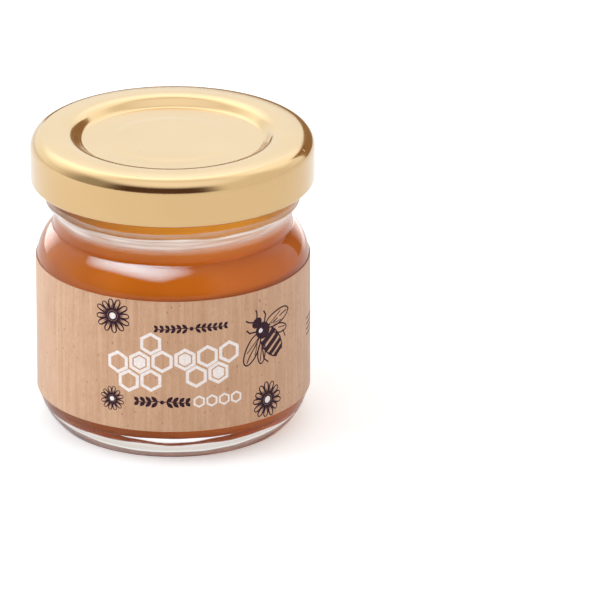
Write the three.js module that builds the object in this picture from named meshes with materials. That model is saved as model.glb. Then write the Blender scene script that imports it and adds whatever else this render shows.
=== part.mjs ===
// A small round jar of honey: clear glass, the honey in it, a pressed gold lid and a kraft paper label.
// Millimetres, +Z up. The origin is the centre of the foot, on the table.
import * as THREE from "three";

// Facets round the axis of every turned piece
const SEGMENTS = 64;

// Glass, outside
const BODY_RADIUS = 22.1;
const FOOT_OUTER_RADIUS = 18.7;
const FOOT_INNER_RADIUS = 16.6;
const FOOT_EDGE_HEIGHT = 0.4;
const PUNT_RADIUS = 14.6;
const PUNT_HEIGHT = 1.1;
const PUNT_WALL_HEIGHT = 0.8;
const HEEL_ARC_RADIUS = 9.2;
const HEEL_TOP = 7.1;
const SHOULDER_ARC_RADIUS = 7.6;
const SHOULDER_START = 27.6;
const NECK_RADIUS = 19.35;
const NECK_FILLET_RADIUS = 1.1;
const BEAD_RADIUS = 20.7;
const BEAD_BOTTOM = 37.55;
const BEAD_TOP = 40.9;
const BEAD_EDGE_RADIUS = 0.7;
const FINISH_RADIUS = 20.3;

// Glass, inside
const WALL = 2.2;
const BORE_RADIUS = 17.2;
const GLASS_FLOOR = 3.6;
const FLOOR_CORNER_RADIUS = 4.4;

// Lid, pressed from sheet
const LID_RADIUS = 23;
const LID_TOP = 49.1;
const LID_BOTTOM = 41.1;
const LID_SHEET = 0.3;
const LID_CORNER_RADIUS = 2.3;
const LID_CURL_RADIUS = 0.55;
const RECESS_OUTER_RADIUS = 17.3;
const RECESS_INNER_RADIUS = 14.5;
const RECESS_DEPTH = 1.4;
const BUTTON_OUTER_RADIUS = 10.8;
const BUTTON_INNER_RADIUS = 8.6;
const BUTTON_HEIGHT = 0.15;

// The rim of the glass touches the flat underside of the lid's ring.
const RIM_TOP = LID_TOP - LID_SHEET;
const RIM_EDGE_RADIUS = 1;

// Honey
const HONEY_LEVEL = 42.5;
const HONEY_CLEARANCE = 0.05;

// Paper label, wrapped once round with its end lapped over its start at the back
const LABEL_BOTTOM = 5.8;
const LABEL_TOP = 28.25;
const LABEL_GAP = 0.02;
const LABEL_PAPER = 0.13;
const LABEL_LAP_WIDTH = 8;
const LABEL_LAP_ANGLE = Math.PI / 2;

const materials = {
  glass: new THREE.MeshStandardMaterial({
    color: 0xeef1ef,
    roughness: 0.05,
    metalness: 0,
    transparent: true,
    opacity: 0.35,
  }),
  honey: new THREE.MeshStandardMaterial({ color: 0xc06a22, roughness: 0.12, metalness: 0 }),
  lid: new THREE.MeshStandardMaterial({ color: 0xe3c08c, roughness: 0.28, metalness: 1 }),
  label: new THREE.MeshStandardMaterial({ color: 0xcda27e, roughness: 0.85, metalness: 0 }),
};

// Points (radius, height) along an arc, with its angles in degrees from the outward direction
function arc(centreR, centreZ, radius, fromDegrees, toDegrees, steps) {
  const points = [];
  for (let i = 0; i <= steps; i += 1) {
    const angle = THREE.MathUtils.degToRad(fromDegrees + ((toDegrees - fromDegrees) * i) / steps);
    points.push(
      new THREE.Vector2(centreR + radius * Math.cos(angle), centreZ + radius * Math.sin(angle)),
    );
  }
  return points;
}

// Points along a soft step in height between two radii
function softStep(fromR, fromZ, toR, toZ, steps) {
  const points = [];
  for (let i = 0; i <= steps; i += 1) {
    const t = i / steps;
    points.push(
      new THREE.Vector2(
        THREE.MathUtils.lerp(fromR, toR, t),
        fromZ + (toZ - fromZ) * THREE.MathUtils.smoothstep(t, 0, 1),
      ),
    );
  }
  return points;
}

function point(r, z) {
  return new THREE.Vector2(r, z);
}

// A turned piece, named, with its axis along +Z
function turned(name, profile) {
  const mesh = new THREE.Mesh(new THREE.LatheGeometry(profile, SEGMENTS), materials[name]);
  mesh.name = name;
  mesh.rotation.x = Math.PI / 2;
  return mesh;
}

// The wall's inner side from the middle of the floor up to the bore, set in by a clearance
function innerWall(clearance) {
  const wallRadius = BODY_RADIUS - WALL;
  const shoulderRadius = SHOULDER_ARC_RADIUS - WALL;
  const shoulderCentre = BODY_RADIUS - SHOULDER_ARC_RADIUS;
  const boreAngle = THREE.MathUtils.radToDeg(
    Math.acos((BORE_RADIUS - shoulderCentre) / shoulderRadius),
  );
  const corner = arc(
    wallRadius - FLOOR_CORNER_RADIUS,
    GLASS_FLOOR + FLOOR_CORNER_RADIUS,
    FLOOR_CORNER_RADIUS - clearance,
    -90,
    0,
    5,
  );
  const shoulder = arc(
    shoulderCentre,
    SHOULDER_START,
    shoulderRadius - clearance,
    0,
    boreAngle,
    4,
  );
  return [point(0, GLASS_FLOOR + clearance), ...corner, ...shoulder];
}

function glass() {
  const heelCentre = BODY_RADIUS - HEEL_ARC_RADIUS;
  const heelAngle = THREE.MathUtils.radToDeg(
    Math.asin((HEEL_TOP - FOOT_EDGE_HEIGHT) / HEEL_ARC_RADIUS),
  );
  const underside = [
    ...softStep(0, PUNT_HEIGHT, PUNT_RADIUS, PUNT_WALL_HEIGHT, 2),
    point(FOOT_INNER_RADIUS, 0),
    point(FOOT_OUTER_RADIUS, 0),
  ];
  const heel = arc(heelCentre, HEEL_TOP, HEEL_ARC_RADIUS, -heelAngle, 0, 6);

  // The shoulder's arc runs up to where a small fillet turns it into the upright neck.
  const shoulderCentre = BODY_RADIUS - SHOULDER_ARC_RADIUS;
  const filletCentreR = NECK_RADIUS + NECK_FILLET_RADIUS;
  const filletAngle = Math.acos(
    (filletCentreR - shoulderCentre) / (SHOULDER_ARC_RADIUS + NECK_FILLET_RADIUS),
  );
  const filletCentreZ =
    SHOULDER_START + (SHOULDER_ARC_RADIUS + NECK_FILLET_RADIUS) * Math.sin(filletAngle);
  const filletDegrees = THREE.MathUtils.radToDeg(filletAngle);
  const shoulder = arc(shoulderCentre, SHOULDER_START, SHOULDER_ARC_RADIUS, 0, filletDegrees, 6);
  const fillet = arc(
    filletCentreR,
    filletCentreZ,
    NECK_FILLET_RADIUS,
    180 + filletDegrees,
    180,
    3,
  ).slice(1);

  const beadArcR = BEAD_RADIUS - BEAD_EDGE_RADIUS;
  const neck = [
    point(NECK_RADIUS, BEAD_BOTTOM),
    ...arc(beadArcR, BEAD_BOTTOM + BEAD_EDGE_RADIUS, BEAD_EDGE_RADIUS, -90, 0, 3),
    point(BEAD_RADIUS, BEAD_TOP),
    point(FINISH_RADIUS, BEAD_TOP + BEAD_RADIUS - FINISH_RADIUS),
  ];
  const rimCentreZ = RIM_TOP - RIM_EDGE_RADIUS;
  const rim = [
    ...arc(FINISH_RADIUS - RIM_EDGE_RADIUS, rimCentreZ, RIM_EDGE_RADIUS, 0, 90, 3),
    ...arc(BORE_RADIUS + RIM_EDGE_RADIUS, rimCentreZ, RIM_EDGE_RADIUS, 90, 180, 3),
  ];
  return turned("glass", [
    ...underside,
    ...heel,
    ...shoulder,
    ...fillet,
    ...neck,
    ...rim,
    ...innerWall(0).reverse(),
  ]);
}

function honey() {
  return turned("honey", [
    ...innerWall(HONEY_CLEARANCE),
    point(BORE_RADIUS - HONEY_CLEARANCE, HONEY_LEVEL),
    point(0, HONEY_LEVEL),
  ]);
}

// The lid's pressed panel from the middle out to the flat ring, at the sheet's upper or lower side
function lidPanel(drop) {
  const floor = LID_TOP - RECESS_DEPTH - drop;
  return [
    point(0, floor + BUTTON_HEIGHT),
    ...softStep(BUTTON_INNER_RADIUS, floor + BUTTON_HEIGHT, BUTTON_OUTER_RADIUS, floor, 2),
    ...softStep(RECESS_INNER_RADIUS, floor, RECESS_OUTER_RADIUS, LID_TOP - drop, 5),
  ];
}

function lid() {
  const cornerR = LID_RADIUS - LID_CORNER_RADIUS;
  const cornerZ = LID_TOP - LID_CORNER_RADIUS;
  const innerSkirtRadius = LID_RADIUS - LID_SHEET;
  const curlR = LID_RADIUS - LID_CURL_RADIUS;
  const curlStart = THREE.MathUtils.radToDeg(
    Math.acos((innerSkirtRadius - curlR) / LID_CURL_RADIUS),
  );
  return turned("lid", [
    ...lidPanel(LID_SHEET),
    ...arc(cornerR, cornerZ, LID_CORNER_RADIUS - LID_SHEET, 90, 0, 4),
    ...arc(curlR, LID_BOTTOM + LID_CURL_RADIUS, LID_CURL_RADIUS, curlStart, 360, 8),
    ...arc(cornerR, cornerZ, LID_CORNER_RADIUS, 0, 90, 5),
    ...lidPanel(0).reverse(),
  ]);
}

function label() {
  const innerRadius = BODY_RADIUS + LABEL_GAP;
  const outerRadius = innerRadius + LABEL_PAPER;
  const lapRadius = outerRadius + LABEL_PAPER;
  const halfLap = LABEL_LAP_WIDTH / outerRadius / 2;
  const lapStart = LABEL_LAP_ANGLE - halfLap;
  const lapEnd = LABEL_LAP_ANGLE + halfLap;
  const outline = new THREE.Shape();
  outline.absarc(0, 0, lapRadius, lapStart, lapEnd, false);
  outline.absarc(0, 0, outerRadius, lapEnd, lapStart + 2 * Math.PI, false);
  const bore = new THREE.Path();
  bore.absarc(0, 0, innerRadius, 0, 2 * Math.PI, true);
  outline.holes.push(bore);
  const wrap = new THREE.ExtrudeGeometry(outline, {
    depth: LABEL_TOP - LABEL_BOTTOM,
    curveSegments: SEGMENTS / 2,
    bevelEnabled: false,
  });
  const mesh = new THREE.Mesh(wrap, materials.label);
  mesh.name = "label";
  mesh.position.z = LABEL_BOTTOM;
  return mesh;
}

const jar = new THREE.Group();
jar.add(glass(), honey(), lid(), label());

export default jar;
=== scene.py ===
import math
import random

import bpy
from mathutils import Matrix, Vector

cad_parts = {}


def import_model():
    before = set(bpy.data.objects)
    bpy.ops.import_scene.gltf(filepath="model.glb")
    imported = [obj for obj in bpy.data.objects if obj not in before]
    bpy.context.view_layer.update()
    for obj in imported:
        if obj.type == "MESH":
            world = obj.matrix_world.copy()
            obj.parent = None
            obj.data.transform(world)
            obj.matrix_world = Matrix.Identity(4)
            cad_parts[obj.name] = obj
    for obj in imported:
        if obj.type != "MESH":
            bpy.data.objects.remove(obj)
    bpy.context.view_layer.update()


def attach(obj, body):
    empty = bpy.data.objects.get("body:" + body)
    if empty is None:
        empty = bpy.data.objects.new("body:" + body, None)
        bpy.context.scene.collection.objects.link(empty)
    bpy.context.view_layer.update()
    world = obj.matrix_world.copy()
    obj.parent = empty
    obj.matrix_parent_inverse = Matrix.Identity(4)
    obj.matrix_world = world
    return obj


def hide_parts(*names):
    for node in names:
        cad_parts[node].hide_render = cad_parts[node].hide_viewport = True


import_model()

MM = 0.001
# Points round the axis of every turned piece
ROUND = 256

# Glass sizes in millimetres, as in the solid model
BODY_RADIUS = 22.1
FOOT_OUTER_RADIUS = 18.7
FOOT_INNER_RADIUS = 16.6
FOOT_EDGE_HEIGHT = 0.4
FOOT_EDGE_RADIUS = 0.35
PUNT_RADIUS = 14.6
PUNT_HEIGHT = 1.1
PUNT_WALL_HEIGHT = 0.8
PUNT_LEDGE_WIDTH = 0.2
HEEL_ARC_RADIUS = 9.2
HEEL_TOP = 7.1
SHOULDER_ARC_RADIUS = 7.6
SHOULDER_START = 27.6
NECK_RADIUS = 19.35
NECK_FILLET_RADIUS = 1.1
BEAD_RADIUS = 20.7
BEAD_BOTTOM = 37.55
BEAD_TOP = 40.9
BEAD_EDGE_RADIUS = 0.7
BEAD_FILLET_RADIUS = 0.25
FINISH_RADIUS = 20.3
FINISH_STEP_HEIGHT = 0.4
WALL = 2.2
BORE_RADIUS = 17.2
GLASS_FLOOR = 3.6
FLOOR_CORNER_RADIUS = 4.4

# Lid
LID_RADIUS = 23.0
LID_TOP = 49.1
LID_BOTTOM = 41.1
LID_SHEET = 0.3
LID_CORNER_RADIUS = 2.3
LID_CURL_RADIUS = 0.55
RECESS_OUTER_RADIUS = 18.0
RECESS_DEPTH = 1.4
# How steep the recess's wall is at distances in from its outer radius
RECESS_SLOPES = ((0, 0), (0.8, 0.09), (1.4, 0.18), (1.8, 0.38), (2.2, 0.74), (2.8, 0.74), (3.6, 0))
# How steep the flat ring has become, in degrees, where it meets the corner
RING_SLOPE = 5.0
BUTTON_OUTER_RADIUS = 10.8
BUTTON_INNER_RADIUS = 8.6
BUTTON_HEIGHT = 0.07
RIM_TOP = LID_TOP - LID_SHEET
RIM_EDGE_RADIUS = 1.0

# Honey
HONEY_LEVEL = 42.5
HONEY_BITE = 0.06
MENISCUS_RISE = 0.7
MENISCUS_WIDTH = 1.8
MENISCUS_CURVE = 2.4

# Label
LABEL_BOTTOM = 5.8
LABEL_TOP = 28.25
LABEL_GAP = 0.02
LABEL_PAPER = 0.13
LABEL_LAP_WIDTH = 8.0
# How far round the paper takes to climb over its own start, and the gap left under it
LABEL_CLIMB_WIDTH = 0.9
LABEL_LAP_GAP = 0.005
LABEL_INNER = BODY_RADIUS + LABEL_GAP
LABEL_OUTER = LABEL_INNER + LABEL_PAPER

# Ink on the label, proud of the paper and sunk into it
INK_LIFT = 0.012
INK_SINK = 0.03

# The photograph's camera
CAMERA_ELEVATION = math.radians(21.6)
CAMERA_DISTANCE = 1.5
SENSOR_WIDTH = 36.0
FRAME_PIXELS = 599
PIXELS_PER_MM = 6.163
JAR_POINT = Vector((0, 0, 0.025))
JAR_POINT_PIXEL = (173.3, 269.3)


def new_piece(name, verts, faces, sharp_degrees=None):
    """A piece from points and faces: flat, or smooth with edges above an angle kept sharp."""
    mesh = bpy.data.meshes.new(name)
    mesh.from_pydata(verts, [], faces)
    if sharp_degrees is not None:
        mesh.shade_smooth()
        mesh.set_sharp_from_angle(angle=math.radians(sharp_degrees))
    piece = bpy.data.objects.new(name, mesh)
    bpy.context.scene.collection.objects.link(piece)
    return piece


# Shapes

def arc(centre_r, centre_z, radius, from_degrees, to_degrees, steps):
    """Points (radius, height) along an arc, with its angles from the outward direction."""
    points = []
    for i in range(steps + 1):
        angle = math.radians(from_degrees + (to_degrees - from_degrees) * i / steps)
        points.append((centre_r + radius * math.cos(angle), centre_z + radius * math.sin(angle)))
    return points


def smoothstep(t):
    t = min(max(t, 0.0), 1.0)
    return t * t * (3 - 2 * t)


def soft_step(from_r, from_z, to_r, to_z, steps):
    """Points along a soft step in height between two radii."""
    points = []
    for i in range(steps + 1):
        t = i / steps
        points.append((from_r + (to_r - from_r) * t, from_z + (to_z - from_z) * smoothstep(t)))
    return points


def turned(name, profile):
    """A piece turned round the Z axis from a profile that starts and ends on the axis."""
    shortest = 1e-4
    points = [profile[0]]
    for r, z in profile[1:]:
        if math.hypot(r - points[-1][0], z - points[-1][1]) > shortest:
            points.append((r, z))
    inner = points[1:-1]
    verts = []
    for r, z in inner:
        for i in range(ROUND):
            a = 2 * math.pi * i / ROUND
            verts.append((r * MM * math.cos(a), r * MM * math.sin(a), z * MM))
    faces = []
    for k in range(len(inner) - 1):
        for i in range(ROUND):
            j = (i + 1) % ROUND
            faces.append((k * ROUND + i, k * ROUND + j, (k + 1) * ROUND + j, (k + 1) * ROUND + i))
    first = len(verts)
    verts.append((0, 0, points[0][1] * MM))
    verts.append((0, 0, points[-1][1] * MM))
    last_ring = (len(inner) - 1) * ROUND
    for i in range(ROUND):
        j = (i + 1) % ROUND
        faces.append((first, j, i))
        faces.append((first + 1, last_ring + i, last_ring + j))
    return new_piece(name, verts, faces, sharp_degrees=40)


def inner_wall(bite):
    """The wall's inner side from the middle of the floor up to the bore, set into it by bite."""
    wall_radius = BODY_RADIUS - WALL
    shoulder_radius = SHOULDER_ARC_RADIUS - WALL
    shoulder_centre = BODY_RADIUS - SHOULDER_ARC_RADIUS
    bore_angle = math.degrees(math.acos((BORE_RADIUS - shoulder_centre) / shoulder_radius))
    corner_r = wall_radius - FLOOR_CORNER_RADIUS
    corner_z = GLASS_FLOOR + FLOOR_CORNER_RADIUS
    points = [(0, GLASS_FLOOR - bite)]
    points += arc(corner_r, corner_z, FLOOR_CORNER_RADIUS + bite, -90, 0, 24)
    points += arc(shoulder_centre, SHOULDER_START, shoulder_radius + bite, 0, bore_angle, 24)
    return points


def glass_profile():
    """From the middle of the underside out, up the outside, over the rim and down inside."""
    heel_centre = BODY_RADIUS - HEEL_ARC_RADIUS
    heel_angle = math.degrees(math.asin((HEEL_TOP - FOOT_EDGE_HEIGHT) / HEEL_ARC_RADIUS))
    profile = soft_step(0, PUNT_HEIGHT, PUNT_RADIUS, PUNT_WALL_HEIGHT, 12)
    profile += soft_step(PUNT_RADIUS + PUNT_LEDGE_WIDTH, PUNT_WALL_HEIGHT, FOOT_INNER_RADIUS, 0, 8)
    profile += arc(FOOT_OUTER_RADIUS, FOOT_EDGE_RADIUS, FOOT_EDGE_RADIUS, -90, -40, 6)
    profile += arc(heel_centre, HEEL_TOP, HEEL_ARC_RADIUS, -heel_angle, 0, 28)
    shoulder_centre = BODY_RADIUS - SHOULDER_ARC_RADIUS
    fillet_r = NECK_RADIUS + NECK_FILLET_RADIUS
    both_radii = SHOULDER_ARC_RADIUS + NECK_FILLET_RADIUS
    fillet_angle = math.acos((fillet_r - shoulder_centre) / both_radii)
    fillet_z = SHOULDER_START + both_radii * math.sin(fillet_angle)
    fillet_degrees = math.degrees(fillet_angle)
    profile += arc(shoulder_centre, SHOULDER_START, SHOULDER_ARC_RADIUS, 0, fillet_degrees, 28)
    profile += arc(fillet_r, fillet_z, NECK_FILLET_RADIUS, 180 + fillet_degrees, 180, 12)[1:]
    bead_arc_r = BEAD_RADIUS - BEAD_EDGE_RADIUS
    bead_fillet_r = NECK_RADIUS + BEAD_FILLET_RADIUS
    bead_fillet_z = BEAD_BOTTOM - BEAD_FILLET_RADIUS
    profile += arc(bead_fillet_r, bead_fillet_z, BEAD_FILLET_RADIUS, 180, 90, 6)
    profile += arc(bead_arc_r, BEAD_BOTTOM + BEAD_EDGE_RADIUS, BEAD_EDGE_RADIUS, -90, 0, 14)
    profile += soft_step(BEAD_RADIUS, BEAD_TOP, FINISH_RADIUS, BEAD_TOP + FINISH_STEP_HEIGHT, 6)
    rim_z = RIM_TOP - RIM_EDGE_RADIUS
    profile += arc(FINISH_RADIUS - RIM_EDGE_RADIUS, rim_z, RIM_EDGE_RADIUS, 0, 90, 12)
    profile += arc(BORE_RADIUS + RIM_EDGE_RADIUS, rim_z, RIM_EDGE_RADIUS, 90, 180, 12)
    return profile + inner_wall(0)[::-1]


def honey_profile():
    """Up the wall just inside the glass, then over the meniscus and in to the middle."""
    edge = BORE_RADIUS + HONEY_BITE
    profile = inner_wall(HONEY_BITE)
    profile.append((edge, HONEY_LEVEL + MENISCUS_RISE))
    steps = 12
    for i in range(1, steps + 1):
        t = i / steps
        fall = (1 - t) ** MENISCUS_CURVE
        profile.append((edge - MENISCUS_WIDTH * t, HONEY_LEVEL + MENISCUS_RISE * fall))
    profile.append((0, HONEY_LEVEL))
    return profile


def recess_wall(floor):
    """Points up the recess's wall, from its floor out to the ring."""
    last = RECESS_SLOPES[-1][0]
    steps = 48
    falls = [0.0]
    for i in range(steps):
        x = last * (i + 0.5) / steps
        for (x0, s0), (x1, s1) in zip(RECESS_SLOPES, RECESS_SLOPES[1:]):
            if x0 <= x <= x1:
                slope = s0 + (s1 - s0) * (x - x0) / (x1 - x0)
        falls.append(falls[-1] + slope * last / steps)
    scale = RECESS_DEPTH / falls[-1]
    points = []
    for i in range(steps, -1, -1):
        r = RECESS_OUTER_RADIUS - last * i / steps
        points.append((r, floor + RECESS_DEPTH - falls[i] * scale))
    return points


def lid_panel(drop):
    """The pressed panel from the middle out to the flat ring, at the sheet's upper or lower side."""
    floor = LID_TOP - RECESS_DEPTH - drop
    points = [(0, floor + BUTTON_HEIGHT)]
    points += soft_step(BUTTON_INNER_RADIUS, floor + BUTTON_HEIGHT, BUTTON_OUTER_RADIUS, floor, 10)
    return points + recess_wall(floor)


def lid_profile():
    """Out along the sheet's underside, round the curled edge, and back in over the top."""
    corner_r = LID_RADIUS - LID_CORNER_RADIUS
    corner_z = LID_TOP - LID_CORNER_RADIUS
    curl_r = LID_RADIUS - LID_CURL_RADIUS
    curl_start = math.degrees(math.acos((LID_RADIUS - LID_SHEET - curl_r) / LID_CURL_RADIUS))
    profile = lid_panel(LID_SHEET)
    profile += arc(corner_r, corner_z, LID_CORNER_RADIUS - LID_SHEET, 90, 0, 16)
    profile += arc(curl_r, LID_BOTTOM + LID_CURL_RADIUS, LID_CURL_RADIUS, curl_start, 360, 28)
    # The ring falls very slightly from the recess to the corner.
    steps = 12
    end_degrees = 90 - RING_SLOPE
    end_r = corner_r + LID_CORNER_RADIUS * math.cos(math.radians(end_degrees))
    run = end_r - RECESS_OUTER_RADIUS
    slope = math.tan(math.radians(RING_SLOPE))
    end_z = LID_TOP - slope * run / 2
    low_z = end_z - LID_CORNER_RADIUS * math.sin(math.radians(end_degrees))
    profile += arc(corner_r, low_z, LID_CORNER_RADIUS, 0, end_degrees, 24)
    for i in range(steps - 1, 0, -1):
        t = i / steps
        profile.append((RECESS_OUTER_RADIUS + run * t, LID_TOP - slope * run * t * t / 2))
    return profile + lid_panel(0)[::-1]


def wrapped_label(name):
    """The paper strip, wound once round the body with its end lapped over its start at the back."""
    lap = LABEL_LAP_WIDTH / LABEL_OUTER
    start = math.pi / 2 - lap / 2
    turn = 2 * math.pi + lap
    climb = LABEL_CLIMB_WIDTH / LABEL_OUTER
    steps = 2 * ROUND
    rows = 8
    heights = [LABEL_BOTTOM + (LABEL_TOP - LABEL_BOTTOM) * k / rows for k in range(rows + 1)]
    verts = []
    for i in range(steps + 1):
        along = turn * i / steps
        climbed = smoothstep((along - (2 * math.pi - climb)) / climb)
        rise = climbed * (LABEL_PAPER + LABEL_LAP_GAP)
        a = start + along
        inner = LABEL_INNER + rise
        ring = [(inner + LABEL_PAPER, z) for z in heights]
        ring += [(inner, z) for z in reversed(heights)]
        verts += [(r * MM * math.cos(a), r * MM * math.sin(a), z * MM) for r, z in ring]
    size = 2 * (rows + 1)
    faces = []
    for i in range(steps):
        for k in range(size):
            m = (k + 1) % size
            faces.append((i * size + k, (i + 1) * size + k, (i + 1) * size + m, i * size + m))
    for k in range(rows):
        faces.append((k, k + 1, size - 2 - k, size - 1 - k))
        end = steps * size
        faces.append((end + size - 1 - k, end + size - 2 - k, end + k + 1, end + k))
    return new_piece(name, verts, faces, sharp_degrees=30)


# Print: flat patches in (along the paper, height), bent round the label as thin films of ink

class Ink:
    """Collects flat patches and bends them all round the label as one closed film."""

    def __init__(self):
        self.points = []
        self.faces = []

    def grid(self, rows):
        """A patch from rows of points with the same number in each."""
        base = len(self.points)
        width = len(rows[0])
        for row in rows:
            self.points += row
        for i in range(len(rows) - 1):
            for k in range(width - 1):
                a = base + i * width + k
                self.faces.append((a, a + 1, a + width + 1, a + width))

    def stroke(self, line, widths):
        """A line of given width at each point."""
        left = []
        right = []
        for i, (x, z) in enumerate(line):
            x0, z0 = line[max(i - 1, 0)]
            x1, z1 = line[min(i + 1, len(line) - 1)]
            length = math.hypot(x1 - x0, z1 - z0) or 1
            nx, nz = -(z1 - z0) / length, (x1 - x0) / length
            half = widths[i] / 2
            left.append((x + nx * half, z + nz * half))
            right.append((x - nx * half, z - nz * half))
        self.grid([right, left])

    def fill(self, outline, rings=3):
        """A filled patch inside a closed outline that its middle sees all of."""
        cx = sum(p[0] for p in outline) / len(outline)
        cz = sum(p[1] for p in outline) / len(outline)
        closed = outline + outline[:1]
        rows = []
        for k in range(rings, 0, -1):
            t = k / rings
            rows.append([(cx + (x - cx) * t, cz + (z - cz) * t) for x, z in closed])
        small = 0.02
        rows.append([(cx + (x - cx) * small, cz + (z - cz) * small) for x, z in closed])
        self.grid(rows)

    def piece(self, name):
        """The film, a hair proud of the paper, with its underside in the paper."""
        count = len(self.points)
        # A dictionary, so that the edges keep their order
        edges = {}
        for face in self.faces:
            for edge in zip(face, face[1:] + face[:1]):
                edges[edge] = True
        verts = []
        for radius in (LABEL_OUTER + INK_LIFT, LABEL_OUTER - INK_SINK):
            for x, z in self.points:
                a = x / LABEL_OUTER
                verts.append((radius * MM * math.sin(a), -radius * MM * math.cos(a), z * MM))
        faces = list(self.faces)
        faces += [tuple(count + v for v in reversed(face)) for face in self.faces]
        for a, b in edges:
            if (b, a) not in edges:
                faces.append((b, a, count + a, count + b))
        return new_piece(name, verts, faces)


def ellipse(cx, cz, half_x, half_z, turn=0.0, steps=28):
    """A closed outline."""
    points = []
    for i in range(steps):
        a = 2 * math.pi * i / steps
        x, z = half_x * math.cos(a), half_z * math.sin(a)
        points.append((
            cx + x * math.cos(turn) - z * math.sin(turn),
            cz + x * math.sin(turn) + z * math.cos(turn),
        ))
    return points


def petal(ink, cx, cz, angle, inner, outer, half_width, line):
    """The outline of one petal, open at the flower's middle, with a short crease."""
    points = []
    steps = 18
    for i in range(steps + 1):
        t = i / steps
        side = math.sin(math.pi * t)
        along = inner + (outer - inner) * math.sin(math.pi * t) ** 0.55
        across = half_width * math.cos(math.pi * t) * (0.35 + 0.65 * side ** 0.6)
        points.append((
            cx + along * math.cos(angle) - across * math.sin(angle),
            cz + along * math.sin(angle) + across * math.cos(angle),
        ))
    widths = [line * (1.7 - 0.9 * math.sin(math.pi * i / steps)) for i in range(steps + 1)]
    ink.stroke(points, widths)
    crease = []
    for t in (0.0, 0.33, 0.66, 1.0):
        along = inner + (outer - inner) * 0.5 * t
        crease.append((cx + along * math.cos(angle), cz + along * math.sin(angle)))
    ink.stroke(crease, [line * 1.3, line, line * 0.7, line * 0.3])


def daisy(dark, white, cx, cz, radius, petals, turn):
    """A daisy: a white eye in a dark ring, with outlined petals."""
    eye = radius * 0.2
    rng = random.Random(round(cx * 100 + cz * 7))
    for k in range(petals):
        angle = turn + 2 * math.pi * k / petals + rng.uniform(-0.05, 0.05)
        reach = radius * rng.uniform(0.93, 1.04)
        petal(dark, cx, cz, angle, eye * 1.5, reach, radius * 0.2, radius * 0.07)
    ring = ellipse(cx, cz, eye * 1.45, eye * 1.45)
    hole = ellipse(cx, cz, eye * 0.9, eye * 0.9)
    dark.grid([ring + ring[:1], hole + hole[:1]])
    white.fill(ellipse(cx, cz, eye * 1.0, eye * 1.0), 2)


def hexagon(cx, cz, radius, turn=math.pi / 6, per_side=4):
    """A closed outline with several points on each side."""
    corners = []
    for k in range(6):
        angle = turn + k * math.pi / 3
        corners.append((cx + radius * math.cos(angle), cz + radius * math.sin(angle)))
    points = []
    for k in range(6):
        (x0, z0), (x1, z1) = corners[k], corners[(k + 1) % 6]
        for i in range(per_side):
            t = i / per_side
            points.append((x0 + (x1 - x0) * t, z0 + (z1 - z0) * t))
    return points


def hexagon_ring(ink, cx, cz, radius, line):
    """The outline of a cell, line wide."""
    outer = hexagon(cx, cz, radius)
    inner = hexagon(cx, cz, radius - line)
    ink.grid([outer + outer[:1], inner + inner[:1]])


# Honeycomb: outlined and filled cells in three slanting rows
CELL = 2.12
CELL_LINE = 0.6
CELL_SLANT = 0.09
COMB_LEFT = -9.2
COMB_HEIGHT = 17.3
# Column, row, and whether the cell is filled
COMB_CELLS = (
    (1, -1, False),
    (0, 0, False), (1, 0, True), (2, 0, False), (3, 0, True), (4, 0, False), (5, 0, False),
    (0, 1, False), (1, 1, False), (3, 1, False), (4, 1, True),
)
# Radii of an outlined cell and of a filled cell's middle, as shares of CELL
COMB_RING = 0.93
COMB_FILL = 0.52


def honeycomb(white):
    step = math.sqrt(3) * CELL
    for column, row, solid in COMB_CELLS:
        x = COMB_LEFT + step * (column + 0.5 * (row % 2))
        z = COMB_HEIGHT - 1.5 * CELL * row + CELL_SLANT * (x - COMB_LEFT)
        hexagon_ring(white, x, z, CELL * COMB_RING, CELL_LINE)
        if solid:
            white.fill(hexagon(x, z, CELL * COMB_FILL), 3)


# Daisies, three in front and four further round: place along and up, radius, petals and turn
DAISIES = (
    (-10.1, 25.1, 2.95, 12, 0.1),
    (-10.3, 10.75, 2.1, 12, 0.3),
    (16.6, 8.95, 3.05, 13, 0.2),
    (-41.0, 21.5, 2.6, 12, 0.4),
    (-50.5, 11.0, 2.0, 13, 0.1),
    (46.0, 20.5, 2.6, 12, 0.0),
    (37.5, 10.5, 2.0, 12, 0.5),
)


def leaf(ink, x, z, length, half_width, angle):
    """A filled leaf with its stalk end at (x, z)."""
    points = []
    steps = 10
    for side in (1, -1):
        for i in range(steps):
            t = i / steps if side == 1 else 1 - i / steps
            along = length * t
            across = side * half_width * math.sin(math.pi * t) ** 0.8
            points.append((
                x + along * math.cos(angle) - across * math.sin(angle),
                z + along * math.sin(angle) + across * math.cos(angle),
            ))
    ink.fill(points, 2)


def sprig(ink, cx, cz, half_length, leaf_length, pairs):
    """A leafy twig that runs both ways from a dot in its middle."""
    steps = 12
    for way in (-1, 1):
        line = []
        for i in range(steps + 1):
            t = 0.08 + 0.92 * i / steps
            line.append((cx + way * half_length * t, cz + 0.12 * math.sin(6 * t)))
        ink.stroke(line, [0.16] * len(line))
        for k in range(pairs):
            t = (k + 0.7) / pairs
            x = cx + way * half_length * t
            for side in (1, -1):
                angle = side * 0.75 if way == 1 else math.pi - side * 0.75
                leaf(ink, x, cz, leaf_length * (1.1 - 0.35 * t), leaf_length * 0.24, angle)
    ink.fill(ellipse(cx, cz, 0.34, 0.34), 2)


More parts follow.
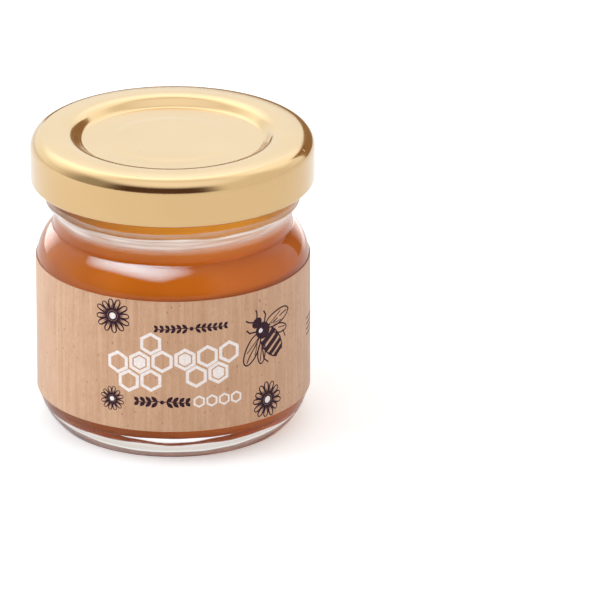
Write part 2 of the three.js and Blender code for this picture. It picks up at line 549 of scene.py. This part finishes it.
def bee(dark, white, cx, cz, size, turn):
    """A bee seen from above, drawn in lines, heading along turn."""
    def place(along, across):
        along, across = along * size, across * size
        return (
            cx + along * math.cos(turn) - across * math.sin(turn),
            cz + along * math.sin(turn) + across * math.cos(turn),
        )

    def line(points, width):
        dark.stroke([place(a, b) for a, b in points], [width * size] * len(points))

    def loop(along, across, half_a, half_b, tilt, width):
        outer = ellipse(along, across, half_a, half_b, tilt, 36)
        inner = ellipse(along, across, half_a - width, half_b - width, tilt, 36)
        dark.grid([
            [place(*p) for p in outer + outer[:1]],
            [place(*p) for p in inner + inner[:1]],
        ])

    def oval(along, half_length, half_width, least):
        """Half the width of the striped body at a place along it."""
        middle = -0.45
        return half_width * math.sqrt(max(1 - ((along - middle) / half_length) ** 2, least))

    # Stripes across the body
    for start, end in ((-0.1, -0.3), (-0.4, -0.58), (-0.68, -0.84), (-0.93, -1.08)):
        rows = []
        for i in range(4):
            along = start + (end - start) * i / 3
            half = oval(along, 0.68, 0.38, 0.02)
            rows.append([place(along, half * (j / 6 - 1)) for j in range(13)])
        dark.grid(rows[::-1])
    # The body's outline
    for side in (1, -1):
        outline = []
        for i in range(15):
            along = -0.05 - 1.05 * i / 14
            outline.append((along, side * oval(along, 0.7, 0.39, 0.01)))
        line(outline, 0.05)
    # Chest and head
    dark.fill([place(*p) for p in ellipse(0.2, 0, 0.31, 0.31, 0, 28)], 3)
    dark.fill([place(*p) for p in ellipse(0.62, 0, 0.17, 0.22, 0, 24)], 2)
    for side in (1, -1):
        # Fore and hind wings, and their veins
        loop(0.0, side * 0.74, 0.28, 0.62, side * 0.42, 0.055)
        loop(-0.4, side * 0.55, 0.19, 0.42, side * 0.85, 0.05)
        line([(0.12, side * 0.25), (0.0, side * 0.6), (-0.1, side * 0.95), (-0.22, side * 1.2)], 0.045)
        line([(0.14, side * 0.25), (0.1, side * 0.62), (0.06, side * 0.98)], 0.035)
        line([(0.08, side * 0.4), (-0.12, side * 0.62), (-0.24, side * 0.8)], 0.03)
        line([(-0.18, side * 0.34), (-0.42, side * 0.6), (-0.6, side * 0.78)], 0.035)
        # Feelers and legs
        line([(0.74, side * 0.08), (0.9, side * 0.22), (1.04, side * 0.26)], 0.055)
        line([(0.38, side * 0.22), (0.56, side * 0.44), (0.74, side * 0.46)], 0.06)
        line([(-0.2, side * 0.36), (-0.66, side * 0.62), (-0.92, side * 0.56)], 0.05)
    # A light spot on the chest
    white.fill([place(*p) for p in ellipse(0.27, 0.06, 0.08, 0.1, 0, 16)], 2)


# Twigs: the middle's place along and up, half the length, a leaf's length and the pairs each way
SPRIGS = (
    (2.9, 23.6, 5.7, 1.1, 6),
    (-1.9, 10.9, 4.1, 1.35, 4),
)

# A row of small empty cells beside the lower twig
SMALL_CELLS = 4
SMALL_CELL_LEFT = 4.1
SMALL_CELL_HEIGHT = 10.9
SMALL_CELL_STEP = 2.1
SMALL_CELL_RADIUS = 1.08
SMALL_CELL_LINE = 0.36

# The bee: its place along and up, its size and its heading
BEE = (16.2, 20.5, 4.7, math.radians(128))

# Plain thin rules on the far sides: place along, top, how many, the step down, the length and
# the line's width
RULES = (
    (29.2, 18.6, 4, 0.9, 6.0, 0.22),
    (-62.0, 20.5, 6, 1.4, 10.0, 0.2),
)
RULE_STEP = 0.5


def rules(dark):
    for left, top, count, drop, length, width in RULES:
        points = round(length / RULE_STEP) + 1
        for k in range(count):
            line = [(left + RULE_STEP * i, top - drop * k) for i in range(points)]
            dark.stroke(line, [width] * points)


def label_print():
    """All of the print, as one film of dark ink and one of white."""
    dark, white = Ink(), Ink()
    honeycomb(white)
    for flower in DAISIES:
        daisy(dark, white, *flower)
    for twig in SPRIGS:
        sprig(dark, *twig)
    for k in range(SMALL_CELLS):
        x = SMALL_CELL_LEFT + SMALL_CELL_STEP * k
        hexagon_ring(white, x, SMALL_CELL_HEIGHT, SMALL_CELL_RADIUS, SMALL_CELL_LINE)
    bee(dark, white, *BEE)
    rules(dark)
    return dark.piece("dark_print"), white.piece("white_print")


# Materials

# Colours are linear values, 0 to 1, but those named SCREEN are screen colours, 0 to 255.
BLACK = (0, 0, 0)
WHITE = (1, 1, 1)

GLASS_IOR = 1.52
# How much of the light that it mirrors the glass keeps
GLASS_GLINT = (0.5, 0.5, 0.5)
GLASS_TINT = (0.955, 0.94, 0.925)
# The base's tint: its thick glass, and painted shade darker than the glass alone gives
GLASS_BASE_TINT_AND_SHADE = (0.63, 0.55, 0.49)
# Heights between which the darker base, thick glass with painted shade, turns into the clear wall
GLASS_BASE_TOP = (2.8, 4.0)
# How far, in millimetres, a patch of noise can move a height on the glass
GLASS_WAVER = 0.8
# How clear the glass of the neck is at each height; where it is less clear, its white base colour
# shows as a painted glow, standing in for the light that its thick glass catches
NECK_GLOW_CLARITY = (
    (34.9, 1), (35.38, 0.88), (35.95, 0.66), (36.52, 0.33), (38.1, 0.33), (38.3, 0.95),
    (38.45, 0.95), (38.64, 0.76), (38.86, 0.9), (38.99, 0.66), (39.3, 1),
)
HONEY_IOR = 1.49
HONEY_DEEP = (0.72, 0.17, 0.012)
HONEY_LIGHT = (0.84, 0.215, 0.02)
HONEY_PAINTED_LIGHT = (0.93, 0.45, 0.012)
HONEY_PAINTED_HIGHLIGHT = (1.0, 0.66, 0.03)
# Heights over which the honey is painted lighter and golden, against the shade under the lid, and then
# a painted highlight just under the lid
HONEY_PAINTED_LIGHT_RISE = (33.0, 39.0)
HONEY_PAINTED_HIGHLIGHT_RISE = (39.8, 40.6)
HONEY_CLEAR = 0.45
HONEY_ABSORBS = (0.95, 0.62, 0.18)
HONEY_DENSITY = 30
# The share of the lamps' red, green and blue light that passes through
GLASS_LAMP_TINT = WHITE
HONEY_LAMP_TINT = (0.8, 0.72, 0.6)

GOLD_SCREEN = ((214, 177, 123), (219, 183, 130))
KRAFT_SCREEN = ((175, 131, 100), (196, 153, 121), (211, 173, 143))
KRAFT_SPECK_SCREEN = (150, 104, 74)
DARK_INK_SCREEN = ((42, 20, 32), (62, 34, 46))
WHITE_INK_SCREEN = ((228, 216, 210), (242, 233, 230))


def new_material(name):
    material = bpy.data.materials.new(name)
    material.use_nodes = True
    nodes = material.node_tree.nodes
    return material, nodes, material.node_tree.links, nodes["Principled BSDF"]


def math_node(nodes, links, operation, a, b=None):
    node = nodes.new("ShaderNodeMath")
    node.operation = operation
    for socket, value in zip(node.inputs, (a, b)):
        if value is None:
            continue
        if isinstance(value, (int, float)):
            socket.default_value = value
        else:
            links.new(value, socket)
    return node.outputs[0]


def map_range(nodes, links, value, source, target=(0, 1), smooth=False):
    """A value moved from one range to another, and held at its ends."""
    node = nodes.new("ShaderNodeMapRange")
    if smooth:
        node.interpolation_type = "SMOOTHSTEP"
    node.inputs["From Min"].default_value, node.inputs["From Max"].default_value = source
    node.inputs["To Min"].default_value, node.inputs["To Max"].default_value = target
    links.new(value, node.inputs["Value"])
    return node.outputs["Result"]


def mixed(nodes, links, fac, low, high):
    """Two colours mixed, each given as a tuple or as a socket."""
    node = nodes.new("ShaderNodeMixRGB")
    links.new(fac, node.inputs["Fac"])
    for socket, value in ((node.inputs["Color1"], low), (node.inputs["Color2"], high)):
        if isinstance(value, tuple):
            socket.default_value = (*value, 1)
        else:
            links.new(value, socket)
    return node.outputs["Color"]


def split(nodes, links, vector):
    """The X, Y and Z of a vector."""
    node = nodes.new("ShaderNodeSeparateXYZ")
    links.new(vector, node.inputs["Vector"])
    return node.outputs["X"], node.outputs["Y"], node.outputs["Z"]


def turn_and_height(nodes, links, vector):
    """The angle round the Z axis, 0 in front and growing towards the right, and the height."""
    x, y, z = split(nodes, links, vector)
    back = math_node(nodes, links, "MULTIPLY", y, -1)
    return math_node(nodes, links, "ARCTAN2", x, back), z


def object_place(nodes):
    """The place on the object, in metres."""
    return nodes.new("ShaderNodeTexCoord").outputs["Object"]


def in_metres(heights):
    return tuple(height * MM for height in heights)


def noise(nodes, links, vector, scale, detail=3.0, roughness=0.5, squeeze=None):
    """Noise from 0 to 1, finer along each axis by the factor that squeeze gives for it."""
    if squeeze is not None:
        mapping = nodes.new("ShaderNodeMapping")
        mapping.inputs["Scale"].default_value = squeeze
        links.new(vector, mapping.inputs["Vector"])
        vector = mapping.outputs["Vector"]
    node = nodes.new("ShaderNodeTexNoise")
    node.inputs["Scale"].default_value = scale
    node.inputs["Detail"].default_value = detail
    node.inputs["Roughness"].default_value = roughness
    links.new(vector, node.inputs["Vector"])
    return node.outputs["Fac"]


def ramp(nodes, links, value, stops):
    """Colours at places along a value from 0 to 1."""
    node = nodes.new("ShaderNodeValToRGB")
    elements = node.color_ramp.elements
    while len(elements) < len(stops):
        elements.new(0.5)
    for element, (place, colour) in zip(elements, stops):
        element.position = place
        element.color = (*colour, 1)
    links.new(value, node.inputs["Fac"])
    return node.outputs["Color"]


def bump(nodes, links, height, strength, distance, normal=None):
    node = nodes.new("ShaderNodeBump")
    node.inputs["Strength"].default_value = strength
    node.inputs["Distance"].default_value = distance
    links.new(height, node.inputs["Height"])
    if normal is not None:
        links.new(normal, node.inputs["Normal"])
    return node.outputs["Normal"]


def linear(screen_colour):
    """A screen colour, 0 to 255, as the renderer's linear values."""
    values = []
    for c in screen_colour:
        c /= 255
        values.append(c / 12.92 if c <= 0.04045 else ((c + 0.055) / 1.055) ** 2.4)
    return tuple(values)


def tones(nodes, links, value, low, high, screen_colours):
    """Screen colours spread evenly over a value, from low to high."""
    last = len(screen_colours) - 1
    stops = []
    for k, screen_colour in enumerate(screen_colours):
        stops.append((low + (high - low) * k / last, linear(screen_colour)))
    return ramp(nodes, links, value, stops)


def let_lamps_through(material, tint):
    """Lamps shine straight through the piece, tinted, instead of leaving what it holds dark."""
    nodes, links = material.node_tree.nodes, material.node_tree.links
    clear = nodes.new("ShaderNodeBsdfTransparent")
    clear.inputs["Color"].default_value = (*tint, 1)
    mix = nodes.new("ShaderNodeMixShader")
    links.new(nodes.new("ShaderNodeLightPath").outputs["Is Shadow Ray"], mix.inputs["Fac"])
    links.new(nodes["Principled BSDF"].outputs["BSDF"], mix.inputs[1])
    links.new(clear.outputs["BSDF"], mix.inputs[2])
    links.new(mix.outputs["Shader"], nodes["Material Output"].inputs["Surface"])


def glass_material():
    material, nodes, links, shader = new_material("clear_glass")
    place = object_place(nodes)
    shader.inputs["IOR"].default_value = GLASS_IOR
    shader.inputs["Specular Tint"].default_value = (*GLASS_GLINT, 1)
    smear = noise(nodes, links, place, scale=90, detail=2)
    links.new(map_range(nodes, links, smear, (0.45, 0.8), (0, 0.05)), shader.inputs["Roughness"])
    wave = noise(nodes, links, place, scale=120, detail=1, squeeze=(1, 1, 1.6))
    links.new(bump(nodes, links, wave, strength=0.25, distance=0.0004), shader.inputs["Normal"])

    # Heights waver a little, so that no edge is a perfect ring.
    stain = noise(nodes, links, place, scale=120, detail=2, squeeze=(1, 1, 4))
    even = math_node(nodes, links, "SUBTRACT", stain, 0.5)
    waver = math_node(nodes, links, "MULTIPLY", even, GLASS_WAVER * MM)
    height = math_node(nodes, links, "ADD", split(nodes, links, place)[2], waver)

    # The thick base is a little darker, partly for its thick glass and partly as painted shade, up to
    # a line that wavers twice as much.
    base_height = math_node(nodes, links, "ADD", height, waver)
    above_base = map_range(nodes, links, base_height, in_metres(GLASS_BASE_TOP))
    tint = ramp(nodes, links, above_base, ((0, GLASS_BASE_TINT_AND_SHADE), (1, GLASS_TINT)))
    links.new(tint, shader.inputs["Base Color"])

    # The neck's glass turns white in streaks: a painted glow ring, standing in for the light that its
    # thick glass catches.
    low, high = NECK_GLOW_CLARITY[0][0], NECK_GLOW_CLARITY[-1][0]
    up_neck = map_range(nodes, links, height, in_metres((low, high)))
    stops = [((z - low) / (high - low), (clear, clear, clear)) for z, clear in NECK_GLOW_CLARITY]
    clarity = ramp(nodes, links, up_neck, stops)
    lines = noise(nodes, links, place, scale=90, detail=2, squeeze=(1, 1, 14))
    streaks = map_range(nodes, links, lines, (0.3, 0.6), (0.55, 1.15))
    # How much of the painted glow shows at each height, broken into streaks
    painted_glow_share = math_node(nodes, links, "SUBTRACT", 1.0, clarity)
    painted_glow = math_node(nodes, links, "MULTIPLY", painted_glow_share, streaks)
    links.new(math_node(nodes, links, "SUBTRACT", 1.0, painted_glow), shader.inputs["Transmission Weight"])
    let_lamps_through(material, GLASS_LAMP_TINT)
    return material


def honey_material():
    material, nodes, links, shader = new_material("honey")
    place = object_place(nodes)
    height = split(nodes, links, place)[2]
    cloud = noise(nodes, links, place, scale=70, detail=2, squeeze=(1, 1, 0.5))
    colour = ramp(nodes, links, cloud, ((0.3, HONEY_DEEP), (0.7, HONEY_LIGHT)))
    # Painted light: golden and lighter towards the top, against the shade of the lid's overhang
    painted_light = map_range(nodes, links, height, in_metres(HONEY_PAINTED_LIGHT_RISE))
    colour = mixed(nodes, links, painted_light, colour, HONEY_PAINTED_LIGHT)
    # A painted highlight: a bright line just under the lid
    painted_highlight = map_range(nodes, links, height, in_metres(HONEY_PAINTED_HIGHLIGHT_RISE))
    colour = mixed(nodes, links, painted_highlight, colour, HONEY_PAINTED_HIGHLIGHT)
    links.new(colour, shader.inputs["Base Color"])
    shader.inputs["Transmission Weight"].default_value = HONEY_CLEAR
    shader.inputs["IOR"].default_value = HONEY_IOR
    shader.inputs["Specular IOR Level"].default_value = 0.0
    shader.inputs["Specular Tint"].default_value = (*BLACK, 1)
    swirl = noise(nodes, links, place, scale=160, detail=2, squeeze=(1, 1, 0.4))
    links.new(map_range(nodes, links, swirl, (0, 1), (0, 0.06)), shader.inputs["Roughness"])
    absorb = nodes.new("ShaderNodeVolumeAbsorption")
    absorb.inputs["Color"].default_value = (*HONEY_ABSORBS, 1)
    absorb.inputs["Density"].default_value = HONEY_DENSITY
    links.new(absorb.outputs["Volume"], nodes["Material Output"].inputs["Volume"])
    let_lamps_through(material, HONEY_LAMP_TINT)
    return material


def gold_material():
    material, nodes, links, shader = new_material("gold_tinplate")
    place = object_place(nodes)
    shader.inputs["Metallic"].default_value = 1.0
    shader.inputs["Coat Weight"].default_value = 0.6
    shader.inputs["Coat Roughness"].default_value = 0.08
    tone = noise(nodes, links, place, scale=60, detail=4)
    gold = tones(nodes, links, tone, 0.3, 0.7, GOLD_SCREEN)
    links.new(gold, shader.inputs["Base Color"])
    grain = noise(nodes, links, place, scale=2600, detail=3, roughness=0.6, squeeze=(1, 0.12, 1))
    links.new(map_range(nodes, links, grain, (0, 1), (0.11, 0.19)), shader.inputs["Roughness"])
    scuffed = bump(nodes, links, grain, strength=0.06, distance=0.00006)
    # A few tiny pits in the lacquer
    cells = nodes.new("ShaderNodeTexVoronoi")
    cells.inputs["Scale"].default_value = 190
    cells.inputs["Randomness"].default_value = 1.0
    links.new(place, cells.inputs["Vector"])
    pit = ramp(nodes, links, cells.outputs["Distance"], ((0.02, BLACK), (0.055, WHITE)))
    pitted = bump(nodes, links, pit, strength=0.5, distance=0.00012, normal=scuffed)
    links.new(pitted, shader.inputs["Normal"])
    return material


def paper_material():
    material, nodes, links, shader = new_material("kraft_paper")
    angle, z = turn_and_height(nodes, links, object_place(nodes))
    along = math_node(nodes, links, "MULTIPLY", angle, LABEL_OUTER * MM)
    flat = nodes.new("ShaderNodeCombineXYZ")
    links.new(along, flat.inputs["X"])
    links.new(z, flat.inputs["Y"])
    sheet = flat.outputs["Vector"]
    stripes = noise(nodes, links, sheet, scale=1500, detail=3, roughness=0.6, squeeze=(1, 0.04, 1))
    fibres = noise(nodes, links, sheet, scale=5200, detail=3, roughness=0.65, squeeze=(1, 0.22, 1))
    cloud = noise(nodes, links, sheet, scale=260, detail=3)
    grain = math_node(nodes, links, "MULTIPLY", stripes, 0.45)
    for part, share in ((fibres, 0.35), (cloud, 0.2)):
        added = math_node(nodes, links, "MULTIPLY", part, share)
        grain = math_node(nodes, links, "ADD", grain, added)
    kraft = tones(nodes, links, grain, 0.3, 0.7, KRAFT_SCREEN)
    speck = noise(nodes, links, sheet, scale=2300, detail=1, roughness=0.4, squeeze=(1, 0.5, 1))
    specks = ramp(nodes, links, speck, ((0.70, BLACK), (0.78, WHITE)))
    speckled = mixed(nodes, links, specks, kraft, linear(KRAFT_SPECK_SCREEN))
    links.new(speckled, shader.inputs["Base Color"])
    shader.inputs["Roughness"].default_value = 0.6
    shader.inputs["Sheen Weight"].default_value = 0.22
    shader.inputs["Specular IOR Level"].default_value = 0.3
    links.new(bump(nodes, links, grain, strength=0.35, distance=0.00006), shader.inputs["Normal"])
    return material


def ink_material(name, screen_colours):
    material, nodes, links, shader = new_material(name)
    wear = noise(nodes, links, object_place(nodes), scale=2600, detail=3, roughness=0.6)
    links.new(tones(nodes, links, wear, 0.35, 0.65, screen_colours), shader.inputs["Base Color"])
    shader.inputs["Roughness"].default_value = 0.6
    shader.inputs["Specular IOR Level"].default_value = 0.15
    links.new(bump(nodes, links, wear, strength=0.2, distance=0.00003), shader.inputs["Normal"])
    return material


# Pieces

glass = turned("jar_glass", glass_profile())
glass.data.materials.append(glass_material())
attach(glass, "root")
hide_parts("glass")

honey = turned("honey_fill", honey_profile())
honey.data.materials.append(honey_material())
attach(honey, "root")
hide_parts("honey")

lid = turned("gold_lid", lid_profile())
lid.data.materials.append(gold_material())
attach(lid, "root")
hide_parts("lid")

label = wrapped_label("paper_label")
label.data.materials.append(paper_material())
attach(label, "root")
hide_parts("label")

dark_print, white_print = label_print()
dark_print.data.materials.append(ink_material("dark_ink", DARK_INK_SCREEN))
white_print.data.materials.append(ink_material("white_ink", WHITE_INK_SCREEN))
for piece in (dark_print, white_print):
    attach(piece, "root")


# Stage

FLOOR_HALF = 3.0
FLOOR_COLOUR = (0.96, 0.96, 0.96)
# How much lighter the camera sees the floor than the jar does
FLOOR_LIFT = 0.25
LIGHTS_AIM = Vector((0, 0, 0.03))

# The world's colour for the camera, for what it lights, and as what shines mirrors it
SEEN_WHITE = (1.0, 1.0, 1.0)
LIT_WHITE = (0.93, 0.93, 0.93)
MIRRORED_WHITE = (0.97, 0.97, 0.97)
BACK_GLOW = (1.2, 1.29, 1.32)
HIGH_GLOW = (1.45, 1.58, 1.72)
SIDE_GREY = (0.45, 0.44, 0.42)
FRONT_DARK = (0.1, 0.05, 0.035)

# The brown card's outline, in degrees to the right of straight behind and metres up
CARD_CORNERS = (
    (-12, 0), (52, 0), (52, 0.36), (34, 0.3), (14, 0.24), (6, 0.19), (1, 0.145), (-12, 0.14),
)
CARD_DISTANCE = 0.5
CARD_BROWN = (0.36, 0.21, 0.09)


def floor():
    half = FLOOR_HALF
    corners = ((-half, -half, 0), (half, -half, 0), (half, half, 0), (-half, half, 0))
    piece = new_piece("floor", corners, [(0, 1, 2, 3)])
    material, nodes, links, shader = new_material("pale_floor")
    shader.inputs["Base Color"].default_value = (*FLOOR_COLOUR, 1)
    shader.inputs["Roughness"].default_value = 0.6
    shader.inputs["Specular IOR Level"].default_value = 0.1
    shader.inputs["Emission Color"].default_value = (*WHITE, 1)
    seen = nodes.new("ShaderNodeLightPath").outputs["Is Camera Ray"]
    lift = math_node(nodes, links, "MULTIPLY", seen, FLOOR_LIFT)
    links.new(lift, shader.inputs["Emission Strength"])
    piece.data.materials.append(material)
    return piece


def only_on(light, pieces):
    """Let a light fall on these pieces alone."""
    group = bpy.data.collections.new(light.name + "_on")
    for piece in pieces:
        group.objects.link(piece)
    light.light_linking.receiver_collection = group


def fade_edges(light_data):
    """Make a light brightest in the middle, and nothing at its edges."""
    light_data.use_nodes = True
    nodes, links = light_data.node_tree.nodes, light_data.node_tree.links
    across = split(nodes, links, nodes.new("ShaderNodeNewGeometry").outputs["Parametric"])
    bell = 1.0
    for side in across[:2]:
        rest = math_node(nodes, links, "SUBTRACT", 1.0, side)
        hump = math_node(nodes, links, "MULTIPLY", side, rest)
        hump = math_node(nodes, links, "MULTIPLY", hump, 4.0)
        bell = math_node(nodes, links, "MULTIPLY", hump, bell)
    links.new(bell, nodes["Emission"].inputs["Strength"])


def softbox(name, pieces, azimuth, elevation, distance, width, height, radiance, matt=True,
            shiny=True, colour=(1, 1, 1)):
    """A soft light aimed at the jar, for these pieces alone. Azimuth 0 is in front, 90 right."""
    a, e = math.radians(azimuth), math.radians(elevation)
    direction = Vector((math.sin(a) * math.cos(e), -math.cos(a) * math.cos(e), math.sin(e)))
    data = bpy.data.lights.new(name, "AREA")
    data.shape = "RECTANGLE"
    data.size = width
    data.size_y = height
    data.energy = radiance * math.pi * width * height
    data.color = colour
    fade_edges(data)
    light = bpy.data.objects.new(name, data)
    light.location = LIGHTS_AIM + direction * distance
    light.rotation_euler = (-direction).to_track_quat("-Z", "Y").to_euler()
    light.visible_camera = False
    light.visible_diffuse = matt
    light.visible_glossy = shiny
    light.visible_transmission = False
    bpy.context.scene.collection.objects.link(light)
    only_on(light, pieces)


def world():
    """White all round, but what shines also mirrors the dark side of the studio."""
    scene_world = bpy.data.worlds.new("studio")
    bpy.context.scene.world = scene_world
    scene_world.use_nodes = True
    nodes, links = scene_world.node_tree.nodes, scene_world.node_tree.links
    direction = nodes.new("ShaderNodeTexCoord").outputs["Generated"]
    azimuth, height = turn_and_height(nodes, links, direction)
    frontness = math_node(nodes, links, "COSINE", azimuth)

    def both(a, b):
        return math_node(nodes, links, "MULTIPLY", a, b)

    def window(value, low, high, soft):
        """1 between low and high, with soft edges."""
        rise = map_range(nodes, links, value, (low - soft, low + soft), (0, 1), smooth=True)
        fall = map_range(nodes, links, value, (high - soft, high + soft), (1, 0), smooth=True)
        return both(rise, fall)

    back = both(
        window(frontness, low=-2.0, high=-0.4, soft=0.3),
        window(height, low=0.12, high=0.9, soft=0.1),
    )
    high_back = both(back, window(height, low=0.46, high=0.92, soft=0.07))
    side = both(
        window(azimuth, low=-1.6, high=0.6, soft=0.25),
        window(height, low=-0.3, high=0.78, soft=0.1),
    )
    front = both(
        window(azimuth, low=-0.9, high=0.54, soft=0.22),
        window(height, low=-0.3, high=0.66, soft=0.06),
    )
    mirrored = MIRRORED_WHITE
    for part, colour in (
        (back, BACK_GLOW), (high_back, HIGH_GLOW), (side, SIDE_GREY), (front, FRONT_DARK),
    ):
        mirrored = mixed(nodes, links, part, mirrored, colour)

    path = nodes.new("ShaderNodeLightPath").outputs
    plain = mixed(nodes, links, path["Is Camera Ray"], LIT_WHITE, SEEN_WHITE)
    colour = mixed(nodes, links, path["Is Glossy Ray"], plain, mirrored)
    links.new(colour, nodes["Background"].inputs["Color"])


def brown_card():
    """A brown card behind the jar's right, which only shows in what shines."""
    corners = []
    for degrees, height in CARD_CORNERS:
        a = math.radians(degrees)
        corners.append((CARD_DISTANCE * math.sin(a), CARD_DISTANCE * math.cos(a), height))
    piece = new_piece("brown_card", corners, [tuple(range(len(corners)))])
    material, _, _, shader = new_material("brown_card")
    shader.inputs["Base Color"].default_value = (*CARD_BROWN, 1)
    shader.inputs["Roughness"].default_value = 0.9
    piece.data.materials.append(material)
    piece.visible_camera = False
    piece.visible_diffuse = False
    piece.visible_transmission = False
    piece.visible_shadow = False


def camera():
    """The photograph's camera: a long lens, turned so that the jar sits left of the middle."""
    data = bpy.data.cameras.new("camera")
    data.sensor_width = SENSOR_WIDTH
    focal_pixels = CAMERA_DISTANCE / MM * PIXELS_PER_MM
    data.lens = focal_pixels * SENSOR_WIDTH / FRAME_PIXELS
    data.clip_end = 20
    e = CAMERA_ELEVATION
    along = Vector((0, math.cos(e), -math.sin(e)))
    up = Vector((0, math.sin(e), math.cos(e)))
    right = Vector((1, 0, 0))
    middle = FRAME_PIXELS / 2
    to_right = (middle - JAR_POINT_PIXEL[0]) / PIXELS_PER_MM * MM
    to_down = (middle - JAR_POINT_PIXEL[1]) / PIXELS_PER_MM * MM
    aim = JAR_POINT + right * to_right - up * to_down
    eye = bpy.data.objects.new("camera", data)
    eye.location = JAR_POINT - along * CAMERA_DISTANCE
    eye.rotation_euler = (aim - eye.location).to_track_quat("-Z", "Y").to_euler()
    bpy.context.scene.collection.objects.link(eye)
    bpy.context.scene.camera = eye


table = floor()
world()
softbox("window_light", (glass,), azimuth=-50, elevation=60, distance=0.6,
        width=0.9, height=0.52, radiance=32, matt=False, colour=(0.62, 0.9, 1))
softbox("left_edge_light", (glass,), azimuth=-150, elevation=8, distance=0.6,
        width=0.44, height=0.44, radiance=4, matt=False)
softbox("right_edge_light", (glass,), azimuth=156, elevation=2, distance=0.15,
        width=0.12, height=0.09, radiance=2.2, matt=False)
softbox("lid_light", (lid,), azimuth=-160, elevation=48, distance=0.6,
        width=0.6, height=0.4, radiance=0.5, matt=False)
softbox("lid_top_light", (lid,), azimuth=-10, elevation=75, distance=0.6,
        width=1.2, height=0.8, radiance=0.4, matt=False, colour=(0.8, 1.05, 1.5))
softbox("honey_light", (honey,), azimuth=28, elevation=8, distance=0.7,
        width=0.6, height=0.3, radiance=11, shiny=False)
softbox("paper_light", (label, dark_print, white_print), azimuth=-105, elevation=20, distance=0.6,
        width=0.6, height=0.4, radiance=2.8, shiny=False, colour=(0.75, 1, 1.15))
softbox("fill_light", (honey, lid, label, dark_print, white_print, table),
        azimuth=-80, elevation=40, distance=0.9,
        width=0.8, height=0.6, radiance=4.2, shiny=False, colour=(0.94, 1, 1.04))
brown_card()
camera()
bpy.context.scene.view_settings.view_transform = "Standard"
